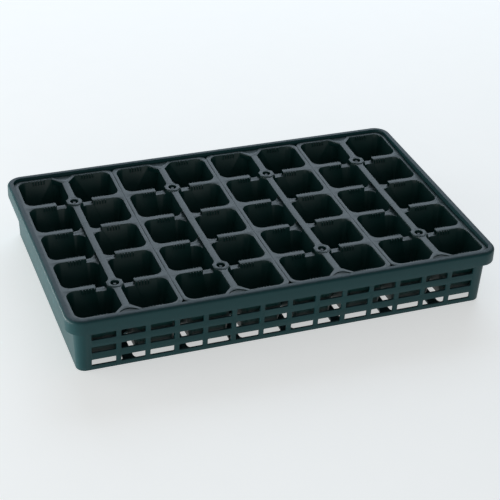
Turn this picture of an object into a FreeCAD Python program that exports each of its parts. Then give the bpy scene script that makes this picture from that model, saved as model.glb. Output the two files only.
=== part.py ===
import FreeCAD, Part
import math
import os
import Sketcher

# Slotted carrier tray with four loose strips of growing cells (8 x 5 cells in all).
# Frame: origin at the middle of the tray's underside, +X along the long side,
# +Y to the back, +Z up. Millimetres.

PACK_COUNT = 4
LEVEL_TOLERANCE = 0.01  # mm
SLOTS_CUT_AT_LEAST = 0.9  # share of the slots' own volume that has to be gone

SIZES = [
    # carrier tray
    ("rim_length", 380.0, "outside of the turned-down rim, along X"),
    ("rim_width", 245.0, "outside of the turned-down rim, along Y"),
    ("rim_corner", 14.5, "outside corner radius of the rim"),
    ("tray_height", 53.5, "underside to the top of the rim"),
    ("rim_depth", 12.2, "height of the turned-down rim"),
    ("rim_wall", 1.8, "thickness of the rim's outer skirt"),
    ("rim_top_wall", 2.2, "thickness of the rim's top"),
    ("rim_round", 2.8, "rounding of the rim's top outer edge"),
    ("rim_top_width", 5.5, "flat top of the rim, skirt included"),
    ("ledge_height", 46.5, "underside to the ledge the packs rest on"),
    ("ledge_width", 2.5, "inside wall above the ledge to inside wall below it"),
    ("bay_corner", 8.3, "corner radius of the inside walls at the ledge"),
    ("ledge_wall", 1.8, "thickness under the ledge"),
    ("tray_wall", 1.8, "thickness of the walls beside the channels under the rim"),
    ("tray_draft", 2.8, "lean of the side walls, in degrees"),
    ("base_length", 363.0, "outside of the tray at its underside, along X"),
    ("base_width", 228.0, "outside of the tray at its underside, along Y"),
    ("base_corner", 7.8, "outside corner radius at the underside"),
    ("tray_floor", 2.0, "thickness of the floor"),
    ("slot_columns", 14, "ventilation slots along each long wall"),
    ("slot_rows", 3, "ventilation slots one above another"),
    ("slot_corner", 0.8, "corner radius of the slots"),
    ("slot_length", 20.5, "slot, along X"),
    ("slot_height", 6.2, "slot, along Z"),
    ("slot_pitch", 24.56, "slot column to slot column"),
    ("slot_row_pitch", 12.8, "slot row to slot row"),
    ("slot_lowest", 7.1, "underside to the middle of the lowest slots"),
    ("window_columns", 8, "openings in the floor along X"),
    ("window_size", 37.0, "square opening in the floor under each cell"),
    ("window_corner", 4.0, "corner radius of the floor openings"),
    # cell pack
    ("pack_pitch", 92.0, "pack to pack along X"),
    ("pack_width", 91.8, "one pack along X"),
    ("pack_length", 230.6, "one pack along Y"),
    ("pack_corner", 7.5, "corner radius of a pack's top flange"),
    ("pack_height", 45.2, "underside of the cells to the top flange"),
    ("cell_rows", 5, "cells along Y"),
    ("cell_pitch", 46.0, "cell to cell along Y"),
    ("cell_spacing", 45.8, "cell to cell along X"),
    ("cell_width", 40.0, "cell mouth along X"),
    ("cell_length", 41.0, "cell mouth along Y"),
    ("cell_corner", 8.0, "corner radius of the cell mouth"),
    ("cell_draft", 7.0, "lean of the cell walls, in degrees"),
    ("cell_wall", 1.2, "thickness of the cells and of the top flange"),
    ("lip_depth", 4.7, "height of the turned-down edge of the flange"),
    ("lip_wall", 2.6, "thickness of the turned-down edge"),
    ("scallop_depth", 0.15, "how far the long edges draw in beside each cell"),
    ("scallop_chord", 40.0, "length of each drawn-in stretch"),
    ("drain_bore", 9.0, "hole in the bottom of each cell"),
    ("web_corner", 0.5, "corner radius of the low webs under the stepped ribs"),
    ("step_corner", 0.3, "corner radius of the steps in the ribs"),
    ("step_depth", 3.8, "how far the ribs step down beside the spine"),
    ("spine_width", 5.8, "middle rib along Y"),
    ("boss_bore", 7.4, "hole through the two round bosses on the spine"),
    ("boss_size", 13.3, "outside of the round bosses"),
    ("boss_depth", 14.0, "height of the round bosses"),
    ("boss_place", 69.0, "boss from the middle of the pack"),
    ("boss_step_reach", 16.5, "step in the ribs beside a boss ends here"),
    ("boss_step_width", 7.0, "step in the ribs beside a boss, along Y"),
    ("rib_step_place", 23.0, "middle ribs from the middle of the pack"),
    ("rib_step_reach", 12.8, "step in the middle ribs ends here"),
    ("rib_step_width", 17.0, "step in the middle ribs, along Y"),
    ("gusset_length", 11.8, "widening of the spine, from the pack's end"),
    ("gusset_width", 25.0, "width of that widening at the end flange"),
    ("gusset_depth", 5.0, "height of that widening"),
    ("recess_radius", 9.5, "half-moon finger recess at each end"),
    ("recess_reach", 6.5, "recess, from the pack's end"),
    ("recess_depth", 0.6, "depth of the finger recess"),
]

doc = FreeCAD.newDocument("plug_tray")


def make_sheet():
    sheet = doc.addObject("Spreadsheet::Sheet", "Sizes")
    for row, (alias, value, note) in enumerate(SIZES, start=1):
        sheet.set(f"A{row}", str(value))
        sheet.setAlias(f"A{row}", alias)
        sheet.set(f"B{row}", note)
    doc.recompute()
    return sheet


sheet = make_sheet()


def number(expression):
    """Present value of an expression over the sheet's cells."""
    return float(sheet.evalExpression(expression))


def origin_feature(body, role):
    return next(feature for feature in body.Origin.OriginFeatures if feature.Role == role)


def new_body(label):
    body = doc.addObject("PartDesign::Body", label)
    body.Label = label
    return body


def new_feature(body, kind, name):
    """Feature that leaves tidying of joined faces to the body's last feature."""
    feature = body.newObject(f"PartDesign::{kind}", name)
    feature.Refine = False
    return feature


def new_sketch(body, name, across="0", along="0", up="0", plane="XY_Plane"):
    """Sketch on one of the body's own origin planes, moved by three expressions."""
    sketch = body.newObject("Sketcher::SketchObject", name)
    sketch.AttachmentSupport = (origin_feature(body, plane), [""])
    sketch.MapMode = "FlatFace"
    sketch.setExpression("AttachmentOffset.Base.x", across)
    sketch.setExpression("AttachmentOffset.Base.y", along)
    sketch.setExpression("AttachmentOffset.Base.z", up)
    return sketch


def size_constraint(sketch, expression, *constraint):
    index = sketch.addConstraint(Sketcher.Constraint(*constraint, number(expression)))
    sketch.setExpression(f"Constraints[{index}]", expression)


def add_rounded_rectangle(sketch, length, width, radius):
    """Rounded rectangle about the sketch's origin; the sizes are expressions."""
    half_x = number(length) / 2
    half_y = number(width) / 2
    corner = number(radius)
    first = len(sketch.Geometry)
    flat_x = half_x - corner
    flat_y = half_y - corner
    up = FreeCAD.Vector(0, 0, 1)
    point = FreeCAD.Vector
    quarter = math.pi / 2
    sketch.addGeometry([
        Part.LineSegment(point(-flat_x, -half_y, 0), point(flat_x, -half_y, 0)),
        Part.LineSegment(point(half_x, -flat_y, 0), point(half_x, flat_y, 0)),
        Part.LineSegment(point(flat_x, half_y, 0), point(-flat_x, half_y, 0)),
        Part.LineSegment(point(-half_x, flat_y, 0), point(-half_x, -flat_y, 0)),
        Part.ArcOfCircle(Part.Circle(point(flat_x, -flat_y, 0), up, corner), -quarter, 0),
        Part.ArcOfCircle(Part.Circle(point(flat_x, flat_y, 0), up, corner), 0, quarter),
        Part.ArcOfCircle(Part.Circle(point(-flat_x, flat_y, 0), up, corner), quarter, 2 * quarter),
        Part.ArcOfCircle(Part.Circle(point(-flat_x, -flat_y, 0), up, corner), -2 * quarter, -quarter),
    ])
    sides = [first + side for side in range(4)]
    arcs = [first + 4 + side for side in range(4)]
    for side in range(4):
        sketch.addConstraint(Sketcher.Constraint("Tangent", sides[side], 2, arcs[side], 1))
        sketch.addConstraint(Sketcher.Constraint("Tangent", arcs[side], 2, sides[(side + 1) % 4], 1))
        direction = "Horizontal" if side % 2 == 0 else "Vertical"
        sketch.addConstraint(Sketcher.Constraint(direction, sides[side]))
    for arc in arcs[1:]:
        sketch.addConstraint(Sketcher.Constraint("Equal", arcs[0], arc))
    sketch.addConstraint(Sketcher.Constraint("Symmetric", arcs[1], 3, arcs[3], 3, -1, 1))
    size_constraint(sketch, radius, "Radius", arcs[0])
    size_constraint(sketch, length, "DistanceX", sides[3], 1, sides[1], 1)
    size_constraint(sketch, width, "DistanceY", sides[0], 1, sides[2], 1)


def add_polygon(sketch, corners):
    """Closed outline of straight lines; each corner is a pair of expressions."""
    points = [FreeCAD.Vector(number(x), number(y), 0) for x, y in corners]
    count = len(points)
    for index in range(count):
        sketch.addGeometry(Part.LineSegment(points[index], points[(index + 1) % count]))
    for index in range(count):
        sketch.addConstraint(Sketcher.Constraint("Coincident", index, 2, (index + 1) % count, 1))
    for index, (x, y) in enumerate(corners):
        size_constraint(sketch, x, "DistanceX", -1, 1, index, 1)
        size_constraint(sketch, y, "DistanceY", -1, 1, index, 1)


def add_circle(sketch, radius):
    """Circle about the sketch's origin."""
    middle = FreeCAD.Vector(0, 0, 0)
    axis = FreeCAD.Vector(0, 0, 1)
    index = sketch.addGeometry(Part.Circle(middle, axis, number(radius)))
    sketch.addConstraint(Sketcher.Constraint("Coincident", index, 3, -1, 1))
    size_constraint(sketch, radius, "Radius", index)


def add_pad(body, name, sketch, length, taper="0", downward=False):
    """Material from the sketch; a negative taper narrows it as it goes."""
    pad = new_feature(body, "Pad", name)
    pad.Profile = sketch
    pad.setExpression("Length", length)
    pad.setExpression("TaperAngle", taper)
    pad.Reversed = downward
    return pad


def add_pocket(body, name, sketch, depth, upward, taper="0"):
    """Cut from the sketch upwards or downwards; the volume has to fall."""
    doc.recompute()
    volume_before = body.Shape.Volume
    pocket = new_feature(body, "Pocket", name)
    pocket.Profile = sketch
    pocket.setExpression("Length", depth)
    pocket.setExpression("TaperAngle", taper)
    pocket.Reversed = upward
    doc.recompute()
    if body.Shape.Volume >= volume_before:
        raise RuntimeError(f"{name} cuts nothing")
    return pocket


def add_pattern(body, name, feature, first, second):
    """Rectangular pattern; each direction is (axis role, reversed, pitch, count)."""
    grid = new_feature(body, "MultiTransform", name)
    grid.Originals = [feature]
    rows = []
    for role, reverse, pitch, count in (first, second):
        row = body.newObject("PartDesign::LinearPattern", f"{name}_{role[0]}")
        row.Direction = (origin_feature(body, role), [""])
        row.Reversed = reverse
        row.Mode = "Spacing"
        row.setExpression("Offset", pitch)
        row.setExpression("Occurrences", count)
        rows.append(row)
    grid.Transformations = rows
    body.Tip = grid
    return grid


def edges_at(shape, height):
    """Names of the edges that lie flat at one height."""
    names = []
    for index, edge in enumerate(shape.Edges, start=1):
        box = edge.BoundBox
        if max(abs(box.ZMin - height), abs(box.ZMax - height)) < LEVEL_TOLERANCE:
            names.append(f"Edge{index}")
    return names


def build_tray():
    """Carrier tray: drafted slotted walls, open floor, ledge and turned-down rim."""
    body = new_body("carrier_tray")
    ledge = "Sizes.ledge_height"
    rim_foot = "Sizes.tray_height - Sizes.rim_depth"
    well_length = "Sizes.rim_length - 2 * Sizes.rim_top_width"
    well_width = "Sizes.rim_width - 2 * Sizes.rim_top_width"
    well_corner = "Sizes.rim_corner - Sizes.rim_top_width"
    bay_length = f"{well_length} - 2 * Sizes.ledge_width"
    bay_width = f"{well_width} - 2 * Sizes.ledge_width"
    bay_corner = "Sizes.bay_corner"

    foot = new_sketch(body, "tray_foot_outline")
    add_rounded_rectangle(foot, "Sizes.base_length", "Sizes.base_width", "Sizes.base_corner")
    add_pad(body, "tray_walls", foot, ledge, taper="Sizes.tray_draft")

    rim = new_sketch(body, "rim_outline", up=rim_foot)
    add_rounded_rectangle(rim, "Sizes.rim_length", "Sizes.rim_width", "Sizes.rim_corner")
    band = add_pad(body, "rim_band", rim, "Sizes.rim_depth")
    doc.recompute()

    rounding = new_feature(body, "Fillet", "rim_rounding")
    rounding.Base = (band, edges_at(band.Shape, number("Sizes.tray_height")))
    rounding.setExpression("Radius", "Sizes.rim_round")
    doc.recompute()

    # Under the rim: a wide channel up to the ledge, then a narrow one up to the rim's top.
    skirt_length = "Sizes.rim_length - 2 * Sizes.rim_wall"
    skirt_width = "Sizes.rim_width - 2 * Sizes.rim_wall"
    skirt_corner = "Sizes.rim_corner - Sizes.rim_wall"
    wide = new_sketch(body, "wide_channel_outline", up=rim_foot)
    add_rounded_rectangle(wide, skirt_length, skirt_width, skirt_corner)
    add_rounded_rectangle(wide, f"{bay_length} + 2 * Sizes.tray_wall",
                          f"{bay_width} + 2 * Sizes.tray_wall", f"{bay_corner} + Sizes.tray_wall")
    add_pocket(body, "wide_channel", wide, f"{ledge} - Sizes.ledge_wall - ({rim_foot})", upward=True)
    narrow = new_sketch(body, "narrow_channel_outline", up=rim_foot)
    add_rounded_rectangle(narrow, skirt_length, skirt_width, skirt_corner)
    add_rounded_rectangle(narrow, f"{well_length} + 2 * Sizes.tray_wall",
                          f"{well_width} + 2 * Sizes.tray_wall", f"{well_corner} + Sizes.tray_wall")
    add_pocket(body, "narrow_channel", narrow, "Sizes.rim_depth - Sizes.rim_top_wall", upward=True)

    well = new_sketch(body, "well_outline", up="Sizes.tray_height")
    add_rounded_rectangle(well, well_length, well_width, well_corner)
    add_pocket(body, "well", well, f"Sizes.tray_height - {ledge}", upward=False)

    bay_mouth = new_sketch(body, "bay_mouth_outline", up=ledge)
    add_rounded_rectangle(bay_mouth, bay_length, bay_width, bay_corner)
    add_pocket(body, "bay", bay_mouth, f"{ledge} - Sizes.tray_floor", upward=False,
               taper="-Sizes.tray_draft")

    slot = new_sketch(body, "slot_outline", plane="XZ_Plane",
                      across="-(Sizes.slot_columns - 1) / 2 * Sizes.slot_pitch",
                      along="Sizes.slot_lowest", up="Sizes.rim_width / 2")
    add_rounded_rectangle(slot, "Sizes.slot_length", "Sizes.slot_height", "Sizes.slot_corner")
    doc.recompute()
    volume_before = body.Shape.Volume
    slot_cut = add_pocket(body, "slot", slot, "Sizes.rim_width", upward=False)
    add_pattern(body, "slots", slot_cut,
                ("X_Axis", False, "Sizes.slot_pitch", "Sizes.slot_columns"),
                ("Z_Axis", False, "Sizes.slot_row_pitch", "Sizes.slot_rows"))
    doc.recompute()
    slots = 2 * number("Sizes.slot_columns") * number("Sizes.slot_rows")
    one_slot = number("Sizes.slot_length * Sizes.slot_height * Sizes.tray_wall")
    if volume_before - body.Shape.Volume < SLOTS_CUT_AT_LEAST * slots * one_slot:
        raise RuntimeError("slots are missing")

    window = new_sketch(body, "floor_window_outline", across="-1.5 * Sizes.pack_pitch - Sizes.cell_spacing / 2",
                        along="-(Sizes.cell_rows - 1) / 2 * Sizes.cell_pitch", up="Sizes.tray_floor")
    add_rounded_rectangle(window, "Sizes.window_size", "Sizes.window_size", "Sizes.window_corner")
    window_cut = add_pocket(body, "floor_window", window, "Sizes.tray_floor", upward=False)
    add_pattern(body, "floor_windows", window_cut,
                ("X_Axis", False, "Sizes.pack_pitch / 2", "Sizes.window_columns"),
                ("Y_Axis", False, "Sizes.cell_pitch", "Sizes.cell_rows")).Refine = True
    doc.recompute()
    return body


def build_pack():
    """One strip of 2 x 5 tapered cells that hang from a stiff top flange."""
    body = new_body("cell_pack_1")
    name = "pack_"
    top = "Sizes.pack_height"
    cell_across = "Sizes.cell_spacing / 2"
    cell_along = "(Sizes.cell_rows - 1) / 2 * Sizes.cell_pitch"
    two_by_five = (("X_Axis", True, "Sizes.cell_spacing", "2"),
                   ("Y_Axis", True, "Sizes.cell_pitch", "Sizes.cell_rows"))

    flange = new_sketch(body, name + "flange_outline", up=f"{top} - Sizes.lip_depth")
    add_rounded_rectangle(flange, "Sizes.pack_width", "Sizes.pack_length", "Sizes.pack_corner")
    add_pad(body, name + "flange", flange, "Sizes.lip_depth")

    # Circles that only just reach into the long edges leave shallow scallops.
    scallop_radius = ("(Sizes.scallop_chord * Sizes.scallop_chord / 4"
                      " + Sizes.scallop_depth * Sizes.scallop_depth) / (2 * Sizes.scallop_depth)")
    scallop = new_sketch(body, name + "scallop_outline", along=cell_along, up=top,
                         across=f"Sizes.pack_width / 2 - Sizes.scallop_depth + {scallop_radius}")
    add_circle(scallop, scallop_radius)
    scallop_cut = add_pocket(body, name + "scallop", scallop, "Sizes.lip_depth", upward=False)
    add_pattern(body, name + "scallops", scallop_cut,
                ("X_Axis", True, f"Sizes.pack_width - 2 * Sizes.scallop_depth + 2 * {scallop_radius}", "2"),
                ("Y_Axis", True, "Sizes.cell_pitch", "Sizes.cell_rows"))

    hollow = new_sketch(body, name + "flange_hollow_outline", up=f"{top} - Sizes.lip_depth")
    add_rounded_rectangle(hollow, "Sizes.pack_width - 2 * Sizes.lip_wall",
                          "Sizes.pack_length - 2 * Sizes.lip_wall", "Sizes.pack_corner - Sizes.lip_wall")
    add_pocket(body, name + "flange_hollow", hollow, "Sizes.lip_depth - Sizes.cell_wall", upward=True)

    shell_mouth = new_sketch(body, name + "cell_shell_outline", across=cell_across, along=cell_along, up=top)
    add_rounded_rectangle(shell_mouth, "Sizes.cell_width + 2 * Sizes.cell_wall",
                          "Sizes.cell_length + 2 * Sizes.cell_wall", "Sizes.cell_corner + Sizes.cell_wall")
    shell = add_pad(body, name + "cell_shell", shell_mouth, top, taper="-Sizes.cell_draft", downward=True)
    add_pattern(body, name + "cell_shells", shell, *two_by_five)

    # Low webs that stay where the ribs step down; the cells are cut through them next.
    web_height = f"{top} - Sizes.step_depth - Sizes.cell_wall"
    steps = [("boss", "Sizes.boss_place", "Sizes.boss_step_reach", "Sizes.boss_step_width"),
             ("rib", "Sizes.rib_step_place", "Sizes.rib_step_reach", "Sizes.rib_step_width")]
    for spot, place, reach, _ in steps:
        web = new_sketch(body, f"{name}{spot}_web_outline", up=web_height, along=place)
        add_rounded_rectangle(web, f"2 * {reach}", "Sizes.rib_step_width", "Sizes.web_corner")
        pad = add_pad(body, f"{name}{spot}_web", web, "Sizes.cell_wall")
        mirror_ends(body, f"{name}{spot}_webs", pad)

    cell_mouth = new_sketch(body, name + "cell_mouth_outline", across=cell_across, along=cell_along, up=top)
    add_rounded_rectangle(cell_mouth, "Sizes.cell_width", "Sizes.cell_length", "Sizes.cell_corner")
    cavity = add_pocket(body, name + "cell", cell_mouth, f"{top} - Sizes.cell_wall", upward=False,
                        taper="-Sizes.cell_draft")
    add_pattern(body, name + "cells", cavity, *two_by_five)

    drain = new_sketch(body, name + "drain_outline", across=cell_across, along=cell_along, up="Sizes.cell_wall")
    add_circle(drain, "Sizes.drain_bore / 2")
    drain_cut = add_pocket(body, name + "drain", drain, "Sizes.cell_wall", upward=False)
    add_pattern(body, name + "drains", drain_cut, *two_by_five)

    # The ribs step down between the spine and their full-height outer parts.
    half_spine = "Sizes.spine_width / 2"
    for spot, place, reach, width in steps:
        step = new_sketch(body, f"{name}{spot}_step_outline", up=top, along=place,
                          across=f"({reach} + {half_spine}) / 2")
        add_rounded_rectangle(step, f"{reach} - {half_spine}", width, "Sizes.step_corner")
        cut = add_pocket(body, f"{name}{spot}_step", step, "Sizes.step_depth", upward=False)
        add_pattern(body, f"{name}{spot}_steps", cut,
                    ("X_Axis", True, f"{reach} + {half_spine}", "2"),
                    ("Y_Axis", True, f"2 * {place}", "2"))

    boss = new_sketch(body, name + "boss_outline", up=f"{top} - Sizes.boss_depth", along="Sizes.boss_place")
    add_circle(boss, "Sizes.boss_size / 2")
    boss_pad = add_pad(body, name + "boss", boss, "Sizes.boss_depth")
    mirror_ends(body, name + "bosses", boss_pad)
    bore = new_sketch(body, name + "boss_bore_outline", up=top, along="Sizes.boss_place")
    add_circle(bore, "Sizes.boss_bore / 2")
    bore_cut = add_pocket(body, name + "boss_bore", bore, "Sizes.boss_depth", upward=False)
    mirror_ends(body, name + "boss_bores", bore_cut)

    end = "Sizes.pack_length / 2"
    inner = f"{end} - Sizes.gusset_length"
    outer = f"{end} - Sizes.lip_wall / 2"
    gusset = new_sketch(body, name + "gusset_outline", up=f"{top} - Sizes.gusset_depth")
    add_polygon(gusset, [(half_spine, inner), ("Sizes.gusset_width / 2", outer),
                         ("-Sizes.gusset_width / 2", outer), (f"-{half_spine}", inner)])
    gusset_pad = add_pad(body, name + "gusset", gusset, "Sizes.gusset_depth")
    mirror_ends(body, name + "gussets", gusset_pad)
    recess = new_sketch(body, name + "recess_outline", up=top,
                        along=f"{end} - Sizes.recess_reach + Sizes.recess_radius")
    add_circle(recess, "Sizes.recess_radius")
    recess_cut = add_pocket(body, name + "recess", recess, "Sizes.recess_depth", upward=False)
    mirror_ends(body, name + "recesses", recess_cut).Refine = True
    doc.recompute()
    return body


def copy_pack(index, first_pack):
    """Another pack from the same mould: a body that starts from the first pack's shape."""
    body = new_body(f"cell_pack_{index + 1}")
    copy = body.newObject("PartDesign::FeatureBase", f"pack_{index + 1}_copy")
    copy.BaseFeature = first_pack
    body.Tip = copy
    doc.recompute()
    return body


def place_pack(body, index):
    """Packs stand side by side, with their edges on the tray's ledge."""
    steps = index - (PACK_COUNT - 1) / 2
    body.setExpression("Placement.Base.x", f"{steps} * Sizes.pack_pitch")
    body.setExpression("Placement.Base.z", "Sizes.ledge_height + Sizes.lip_depth - Sizes.pack_height")


def mirror_ends(body, name, feature):
    """The same feature at the other end of the pack."""
    mirrored = new_feature(body, "Mirrored", name)
    mirrored.Originals = [feature]
    mirrored.MirrorPlane = (origin_feature(body, "XZ_Plane"), [""])
    body.Tip = mirrored
    return mirrored


def check_document(bodies):
    doc.recompute()
    for item in doc.Objects:
        if "Invalid" in item.State or "Error" in item.State:
            raise RuntimeError(f"{item.Name} failed: {item.State}")
    for body in bodies:
        if body.Shape.isNull() or not body.Shape.isValid():
            raise RuntimeError(f"{body.Label} has no valid shape")
        if len(body.Shape.Solids) != 1:
            raise RuntimeError(f"{body.Label} has {len(body.Shape.Solids)} solids")


def export(bodies):
    os.makedirs("parts", exist_ok=True)
    for body in bodies:
        body.Shape.exportStep(f"parts/{body.Label}.step")
        box = body.Shape.BoundBox
        print(body.Label, round(body.Shape.Volume), "mm3, z", round(box.ZMin, 2), "to", round(box.ZMax, 2))


tray = build_tray()
packs = [build_pack()]
for pack_index in range(1, PACK_COUNT):
    packs.append(copy_pack(pack_index, packs[0]))
for pack_index, pack in enumerate(packs):
    place_pack(pack, pack_index)
check_document([tray] + packs)
export([tray] + packs)
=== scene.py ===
import itertools
import math

import bpy
from mathutils import Matrix, Vector


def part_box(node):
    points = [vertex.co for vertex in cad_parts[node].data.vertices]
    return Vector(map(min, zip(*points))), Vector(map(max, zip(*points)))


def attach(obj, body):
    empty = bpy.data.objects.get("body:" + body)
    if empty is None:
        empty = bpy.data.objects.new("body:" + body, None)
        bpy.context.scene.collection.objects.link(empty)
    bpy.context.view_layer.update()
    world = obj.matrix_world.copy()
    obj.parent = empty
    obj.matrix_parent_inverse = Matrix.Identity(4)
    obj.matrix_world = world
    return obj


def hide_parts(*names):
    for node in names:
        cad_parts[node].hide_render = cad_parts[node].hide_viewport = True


# Slotted carrier tray with four loose cell packs. Metres, in the part's own frame:
# origin under the middle of the tray, +X along its long side, +Y to the back, +Z up.

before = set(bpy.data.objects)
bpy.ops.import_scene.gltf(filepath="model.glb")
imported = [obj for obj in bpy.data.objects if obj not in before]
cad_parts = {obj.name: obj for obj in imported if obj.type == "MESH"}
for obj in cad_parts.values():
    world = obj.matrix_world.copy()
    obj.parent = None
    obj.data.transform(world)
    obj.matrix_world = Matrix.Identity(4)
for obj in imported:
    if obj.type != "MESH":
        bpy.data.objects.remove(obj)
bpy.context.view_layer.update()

MM = 0.001
PACKS = [f"cell_pack_{index}" for index in range(1, 5)]

LEDGE_HEIGHT = 46.5 * MM        # the packs' edges rest here
PACK_SAG = 2.5 * MM             # a pack's middle hangs this much lower than its ends
SAG_STRIP = 11.5 * MM           # a pack is cut into strips this long, so that it can curve
EDGE_ROUND = 0.35 * MM          # moulded edges are never sharp
PACK_EDGE_ROUND = 0.15 * MM     # the packs are thinner and sharper
BOSS_PLACE = 69 * MM            # round bosses, from the middle of a pack
BOSS_PIN = 3.2 * MM             # thickness of the pin inside a boss
PIN_LENGTH = 11 * MM
PIN_BELOW = 0.6 * MM            # top of the pin below the flange
PIN_ROUND = 0.5 * MM
BOSS_BORE = 7.4 * MM
BOSS_COLLAR = 13.6 * MM         # eight-sided collar round a boss, across its flats
COLLAR_DEPTH = 2.4 * MM
COLLAR_STAND = 0.5 * MM         # the collar stands this much above the flange
LIP = 2.6 * MM                  # width of a pack's turned-down edge
ROW_PITCH = 46 * MM             # cell to cell along Y
COLUMN_SHIFT = 22.9 * MM        # cell from the middle of its pack, along X
CELL_LENGTH = 41 * MM           # cell mouth along Y
CELL_LEAN = math.radians(7)     # lean of the cell walls
MERGE_DISTANCE = 0.01 * MM
FLAT_ANGLE = math.radians(0.5)  # faces that meet flatter than this are one face
EDGE_ANGLE = math.radians(28)   # edges sharper than this are rounded
SMOOTH_ANGLE = math.radians(30)
RIB_PITCH = 2.5 * MM            # five short teeth on each of a cell's end walls
RIB_WIDTH = 1.0 * MM
RIB_PROUD = 1.5 * MM
RIB_HEIGHT = 4 * MM
RIB_START = 0.25 * MM           # teeth begin this far below the mouth
RIB_ROUND = 0.25 * MM


# ---------------------------------------------------------------- modelling

def select_only(piece):
    """Makes one object the only one that operators act on."""
    bpy.ops.object.select_all(action="DESELECT")
    piece.select_set(True)
    bpy.context.view_layer.objects.active = piece


def merged_copy(node, name):
    """Closed copy of a moulding, with its flat faces whole again."""
    piece = bpy.data.objects.new(name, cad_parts[node].data.copy())
    bpy.context.scene.collection.objects.link(piece)
    select_only(piece)
    bpy.ops.object.mode_set(mode="EDIT")
    bpy.ops.mesh.select_all(action="SELECT")
    bpy.ops.mesh.remove_doubles(threshold=MERGE_DISTANCE)
    bpy.ops.mesh.dissolve_limited(angle_limit=FLAT_ANGLE)
    bpy.ops.object.mode_set(mode="OBJECT")
    return piece


def round_edges(piece, width, segments=2):
    """Rounds every edge sharper than the facets of the curved walls."""
    select_only(piece)
    bevel = piece.modifiers.new("moulded_edges", "BEVEL")
    bevel.width = width
    bevel.segments = segments
    bevel.limit_method = "ANGLE"
    bevel.angle_limit = EDGE_ANGLE
    bevel.use_clamp_overlap = True
    bevel.miter_outer = "MITER_ARC"
    bpy.ops.object.modifier_apply(modifier=bevel.name)


def cut_into_strips(piece, spacing):
    """Adds cross cuts along Y, so that a long piece can be curved."""
    low = min(vertex.co.y for vertex in piece.data.vertices)
    high = max(vertex.co.y for vertex in piece.data.vertices)
    select_only(piece)
    bpy.ops.object.mode_set(mode="EDIT")
    for strip in range(1, math.ceil((high - low) / spacing)):
        bpy.ops.mesh.select_all(action="SELECT")
        bpy.ops.mesh.bisect(plane_co=(0, low + strip * spacing, 0), plane_no=(0, 1, 0))
    bpy.ops.object.mode_set(mode="OBJECT")


def smooth(piece):
    select_only(piece)
    bpy.ops.object.shade_smooth_by_angle(angle=SMOOTH_ANGLE)


def copy_at(original, name, place, lean=0.0):
    """Copy with its own mesh, leaned about X and moved to its place."""
    piece = bpy.data.objects.new(name, original.data.copy())
    piece.data.transform(Matrix.Translation(place) @ Matrix.Rotation(lean, 4, "X"))
    bpy.context.scene.collection.objects.link(piece)
    return piece


def hang(y, half_length):
    """How far a pack hangs below its ends at this place along its length."""
    return PACK_SAG * (1 - (y / half_length) ** 2)


def sag(piece, middle, low, high):
    """Lets the middle of a pack hang, but never its turned-down edge below the ledge."""
    side = (high.x - low.x) / 2 - LIP
    end = high.y - LIP
    for vertex in piece.data.vertices:
        place = vertex.co
        edge = abs(place.x - middle) > side or abs(place.y) > end
        on_ledge = edge and place.z > LEDGE_HEIGHT - PACK_EDGE_ROUND
        place.z -= hang(place.y, high.y)
        if on_ledge:
            place.z = max(place.z, LEDGE_HEIGHT)


def make_pack(node):
    """One cell pack: soft edges and the slight sag of a thin moulding."""
    low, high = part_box(node)
    pack = merged_copy(node, node + "_moulding")
    round_edges(pack, PACK_EDGE_ROUND)
    cut_into_strips(pack, SAG_STRIP)
    sag(pack, (low.x + high.x) / 2, low, high)
    smooth(pack)
    return pack


def make_boss_pin():
    """Pin that stands in the bore of a boss; its top is at the origin."""
    bpy.ops.object.select_all(action="DESELECT")
    bpy.ops.mesh.primitive_cylinder_add(vertices=32, radius=BOSS_PIN / 2, depth=PIN_LENGTH,
                                        location=(0, 0, -PIN_LENGTH / 2))
    pin = bpy.context.object
    bpy.ops.object.transform_apply(location=True, rotation=True, scale=True)
    round_edges(pin, PIN_ROUND, segments=3)
    smooth(pin)
    return pin


def make_boss_collar():
    """Eight-sided collar round a boss; its top is at the origin."""
    centre = (0, 0, -COLLAR_DEPTH / 2)
    corner_radius = BOSS_COLLAR / 2 / math.cos(math.pi / 8)
    bpy.ops.object.select_all(action="DESELECT")
    bpy.ops.mesh.primitive_cylinder_add(vertices=8, radius=corner_radius, depth=COLLAR_DEPTH,
                                        location=centre, rotation=(0, 0, math.pi / 8))
    collar = bpy.context.object
    bpy.ops.object.transform_apply(location=True, rotation=True, scale=True)
    bpy.ops.object.select_all(action="DESELECT")
    bpy.ops.mesh.primitive_cylinder_add(vertices=48, radius=BOSS_BORE / 2, depth=2 * COLLAR_DEPTH,
                                        location=centre)
    bore = bpy.context.object
    select_only(collar)
    cut = collar.modifiers.new("bore", "BOOLEAN")
    cut.operation = "DIFFERENCE"
    cut.solver = "EXACT"
    cut.object = bore
    bpy.ops.object.modifier_apply(modifier=cut.name)
    bpy.data.objects.remove(bore)
    round_edges(collar, PACK_EDGE_ROUND)
    smooth(collar)
    return collar


def make_root_rib():
    """One short tooth, about the origin."""
    bpy.ops.object.select_all(action="DESELECT")
    bpy.ops.mesh.primitive_cube_add(size=1, scale=(RIB_WIDTH, 2 * RIB_PROUD, RIB_HEIGHT))
    rib = bpy.context.object
    bpy.ops.object.transform_apply(location=True, rotation=True, scale=True)
    round_edges(rib, RIB_ROUND, segments=1)
    return rib


def copy_to_bosses(node, original, part, above_flange):
    """One copy at each of a pack's two bosses."""
    low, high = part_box(node)
    top = high.z - hang(BOSS_PLACE, high.y) + above_flange
    pieces = []
    for side, end in ((-1, "front"), (1, "back")):
        place = ((low.x + high.x) / 2, side * BOSS_PLACE, top)
        pieces.append(copy_at(original, f"{node}_boss_{part}_{end}", place))
    return pieces


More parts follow.
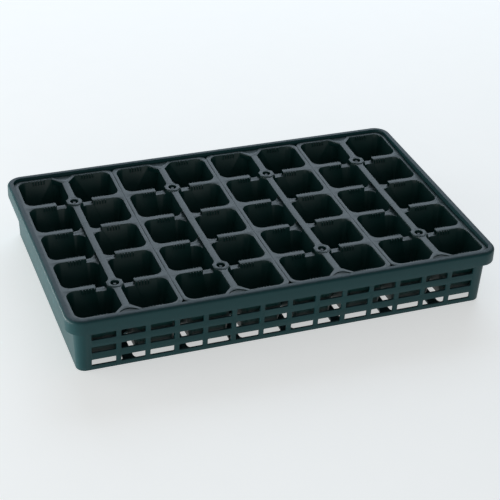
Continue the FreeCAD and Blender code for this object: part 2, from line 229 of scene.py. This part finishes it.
def copy_ribs(node, original):
    """Teeth at the top of each cell's end walls, all of one pack in one piece."""
    low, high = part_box(node)
    middle = (low.x + high.x) / 2
    half_height = RIB_START + RIB_HEIGHT / 2
    wall = CELL_LENGTH / 2 - half_height * math.tan(CELL_LEAN)
    ribs = []
    for row, column, end, tooth in itertools.product(range(-2, 3), (-1, 1), (-1, 1), range(-2, 3)):
        y = row * ROW_PITCH + end * wall
        place = (middle + column * COLUMN_SHIFT + tooth * RIB_PITCH, y,
                 high.z - hang(y, high.y) - half_height)
        ribs.append(copy_at(original, node + "_root_ribs", place, lean=-end * CELL_LEAN))
    bpy.ops.object.select_all(action="DESELECT")
    for rib in ribs:
        rib.select_set(True)
    bpy.context.view_layer.objects.active = ribs[0]
    bpy.ops.object.join()
    return bpy.context.object


def make_tray():
    tray = merged_copy("carrier_tray", "carrier_tray_moulding")
    round_edges(tray, EDGE_ROUND)
    smooth(tray)
    return tray


# ---------------------------------------------------------------- materials

def linear(hex_colour):
    """sRGB hex colour as linear RGBA."""
    channels = [int(hex_colour[place:place + 2], 16) / 255 for place in (1, 3, 5)]
    return [c / 12.92 if c <= 0.04045 else ((c + 0.055) / 1.055) ** 2.4 for c in channels] + [1.0]


def add_node(tree, kind, settings=None, links=None):
    """Adds a node. settings: inputs by name or properties; links: input name to output socket."""
    node = tree.nodes.new(kind)
    for key, value in (settings or {}).items():
        if key in node.inputs:
            node.inputs[key].default_value = value
        else:
            setattr(node, key, value)
    for key, socket in (links or {}).items():
        tree.links.new(socket, node.inputs[key])
    return node


def moulded_polypropylene(name, deep, pale, roughness, specular):
    """Injection-moulded polypropylene, dark green, with a fine spark-eroded texture.

    To the eye: a waxy satin surface with faint flow marks, a little dust and rubbed patches
    on what faces up, and a painted grey sheen in the colour of every face that faces up.
    """
    material = bpy.data.materials.new(name)
    material.use_nodes = True
    tree = material.node_tree
    tree.nodes.clear()
    place = add_node(tree, "ShaderNodeTexCoord").outputs["Object"]

    # Flow marks about 35 mm apart, stretched along the tray.
    flow_place = add_node(tree, "ShaderNodeMapping", {"Scale": (0.35, 1.0, 1.0)}, {"Vector": place})
    flow = add_node(tree, "ShaderNodeTexNoise", {"Scale": 1 / (35 * MM), "Detail": 3.0, "Roughness": 0.5},
                    {"Vector": flow_place.outputs["Vector"]})
    colour = add_node(tree, "ShaderNodeMix", {"data_type": "RGBA"})
    colour.inputs[6].default_value = linear(deep)
    colour.inputs[7].default_value = linear(pale)
    tree.links.new(flow.outputs["Fac"], colour.inputs[0])

    # Dust and rubbing, in patches about 4 mm across, only where the surface faces up; under them a painted
    # sheen greys every upward face evenly.
    normal = add_node(tree, "ShaderNodeNewGeometry").outputs["Normal"]
    facing = add_node(tree, "ShaderNodeSeparateXYZ", links={"Vector": normal})
    upward = add_node(tree, "ShaderNodeMapRange", {"From Min": 0.7, "From Max": 1.0},
                      {"Value": facing.outputs["Z"]})
    patches = add_node(tree, "ShaderNodeTexNoise", {"Scale": 1 / (4 * MM), "Detail": 6.0, "Roughness": 0.6},
                       {"Vector": place})
    spots = add_node(tree, "ShaderNodeMapRange", {"From Min": 0.45, "From Max": 0.75},
                     {"Value": patches.outputs["Fac"]})
    dust = add_node(tree, "ShaderNodeMath", {"operation": "MULTIPLY"})
    tree.links.new(upward.outputs["Result"], dust.inputs[0])
    tree.links.new(spots.outputs["Result"], dust.inputs[1])
    thin_dust = add_node(tree, "ShaderNodeMath", {"operation": "MULTIPLY"})
    thin_dust.inputs[1].default_value = 0.10
    tree.links.new(dust.outputs[0], thin_dust.inputs[0])
    # Painted sheen: a fixed 0.07 of grey on every face that faces up, plus the thin dust in the patches.
    dust_and_sheen = add_node(tree, "ShaderNodeMath", {"operation": "MULTIPLY_ADD"})
    dust_and_sheen.inputs[1].default_value = 0.07
    tree.links.new(upward.outputs["Result"], dust_and_sheen.inputs[0])
    tree.links.new(thin_dust.outputs[0], dust_and_sheen.inputs[2])
    # Mixes in the grey of the dust and of the painted sheen.
    dust_and_sheen_mix = add_node(tree, "ShaderNodeMix", {"data_type": "RGBA"})
    dust_and_sheen_mix.inputs[7].default_value = linear("#96909f")
    tree.links.new(dust_and_sheen.outputs[0], dust_and_sheen_mix.inputs[0])
    tree.links.new(colour.outputs[2], dust_and_sheen_mix.inputs[6])

    shine = add_node(tree, "ShaderNodeMapRange",
                     {"To Min": roughness - 0.05, "To Max": roughness + 0.08},
                     {"Value": patches.outputs["Fac"]})

    # The mould's texture is about 0.1 mm, drawn 0.5 mm so that it shows at all.
    grain = add_node(tree, "ShaderNodeTexNoise", {"Scale": 1 / (0.5 * MM), "Detail": 2.0}, {"Vector": place})
    bump = add_node(tree, "ShaderNodeBump", {"Strength": 0.25, "Distance": 0.05 * MM},
                    {"Height": grain.outputs["Fac"]})
    # Walls this thin are never quite flat: waves about 18 mm long.
    waves = add_node(tree, "ShaderNodeTexNoise", {"Scale": 1 / (18 * MM), "Detail": 1.0}, {"Vector": place})
    wavy = add_node(tree, "ShaderNodeBump", {"Strength": 0.35, "Distance": 0.6 * MM},
                    {"Height": waves.outputs["Fac"], "Normal": bump.outputs["Normal"]})

    shader = add_node(tree, "ShaderNodeBsdfPrincipled", {"IOR": 1.49, "Specular IOR Level": specular},
                      {"Base Color": dust_and_sheen_mix.outputs[2], "Roughness": shine.outputs["Result"],
                       "Normal": wavy.outputs["Normal"]})
    add_node(tree, "ShaderNodeOutputMaterial", links={"Surface": shader.outputs["BSDF"]})
    return material


def floor_sweep():
    """White acrylic sweep, lit a little from below, for the object to stand on."""
    material = bpy.data.materials.new("white_acrylic_sweep")
    material.use_nodes = True
    tree = material.node_tree
    shader = tree.nodes["Principled BSDF"]
    place = add_node(tree, "ShaderNodeTexCoord").outputs["Object"]
    noise = add_node(tree, "ShaderNodeTexNoise", {"Scale": 40.0}, {"Vector": place})
    tone = add_node(tree, "ShaderNodeMix", {"data_type": "RGBA"})
    tone.inputs[6].default_value = linear("#e9edec")
    tone.inputs[7].default_value = linear("#e4e9e8")
    tree.links.new(noise.outputs["Fac"], tone.inputs[0])
    tree.links.new(tone.outputs[2], shader.inputs["Base Color"])
    shader.inputs["Roughness"].default_value = 0.7
    shader.inputs["Emission Color"].default_value = linear("#ffffff")
    shader.inputs["Emission Strength"].default_value = 0.5
    return material


def set_material(piece, material):
    piece.data.materials.clear()
    piece.data.materials.append(material)


# ---------------------------------------------------------------- scene

def add_floor():
    bpy.ops.object.select_all(action="DESELECT")
    bpy.ops.mesh.primitive_plane_add(size=12, location=(0, 0, 0))
    floor = bpy.context.object
    floor.name = "floor"
    set_material(floor, floor_sweep())


def add_camera():
    """Three-quarter view from the front left, about 32 degrees above the tray."""
    data = bpy.data.cameras.new("camera")
    data.sensor_width = 36
    data.lens = 102.4
    camera = bpy.data.objects.new("camera", data)
    right = Vector((0.9405, -0.3380, 0.0342)).normalized()
    forward = Vector((0.3035, 0.7908, -0.5316)).normalized()
    up = right.cross(forward)
    turn = Matrix((right, up, -forward)).transposed()
    camera.matrix_world = Matrix.Translation((-0.3837, -1.0160, 0.6969)) @ turn.to_4x4()
    bpy.context.scene.collection.objects.link(camera)
    bpy.context.scene.camera = camera


def add_soft_light(name, place, aim, size, power, colour=(1, 1, 1)):
    data = bpy.data.lights.new(name, "AREA")
    data.shape = "RECTANGLE"
    data.size, data.size_y = size
    data.energy = power
    data.color = colour
    light = bpy.data.objects.new(name, data)
    light.location = place
    light.rotation_euler = (Vector(aim) - Vector(place)).to_track_quat("-Z", "Y").to_euler()
    bpy.context.scene.collection.objects.link(light)


def add_lights():
    """Soft studio light: a broad panel behind and above, a strong one at the left end."""
    middle = (0, 0, 0.03)
    add_soft_light("back_panel", (0.62, 1.75, 1.15), middle, (2.2, 1.3), 19, (0.74, 0.86, 1.0))
    add_soft_light("left_panel", (-1.0, 0.25, 0.045), (-0.19, 0.1, 0.03), (1.2, 0.08), 14)
    add_soft_light("front_panel", (-0.5, -1.9, 0.5), middle, (1.6, 0.7), 4)
    world = bpy.data.worlds.new("studio")
    world.use_nodes = True
    background = world.node_tree.nodes["Background"]
    background.inputs["Color"].default_value = linear("#f2f5f6")
    background.inputs["Strength"].default_value = 0.24
    bpy.context.scene.world = world


tray_plastic = moulded_polypropylene("moulded_polypropylene_tray", "#0d373a", "#114043", 0.44, 0.25)
pack_plastic = moulded_polypropylene("moulded_polypropylene_packs", "#0a3331", "#0d3937", 0.40, 0.5)

tray = make_tray()
set_material(tray, tray_plastic)
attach(tray, "tray")
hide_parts("carrier_tray")

pin = make_boss_pin()
collar = make_boss_collar()
rib = make_root_rib()
for index, node in enumerate(PACKS, start=1):
    pack = make_pack(node)
    set_material(pack, pack_plastic)
    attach(pack, f"pack_{index}")
    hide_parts(node)
    details = [copy_ribs(node, rib)]
    details += copy_to_bosses(node, pin, "pin", -PIN_BELOW)
    details += copy_to_bosses(node, collar, "collar", COLLAR_STAND)
    for detail in details:
        set_material(detail, pack_plastic)
        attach(detail, f"pack_{index}")
for original in (pin, collar, rib):
    bpy.data.objects.remove(original)

add_floor()
add_camera()
add_lights()
bpy.context.scene.view_settings.view_transform = "Standard"
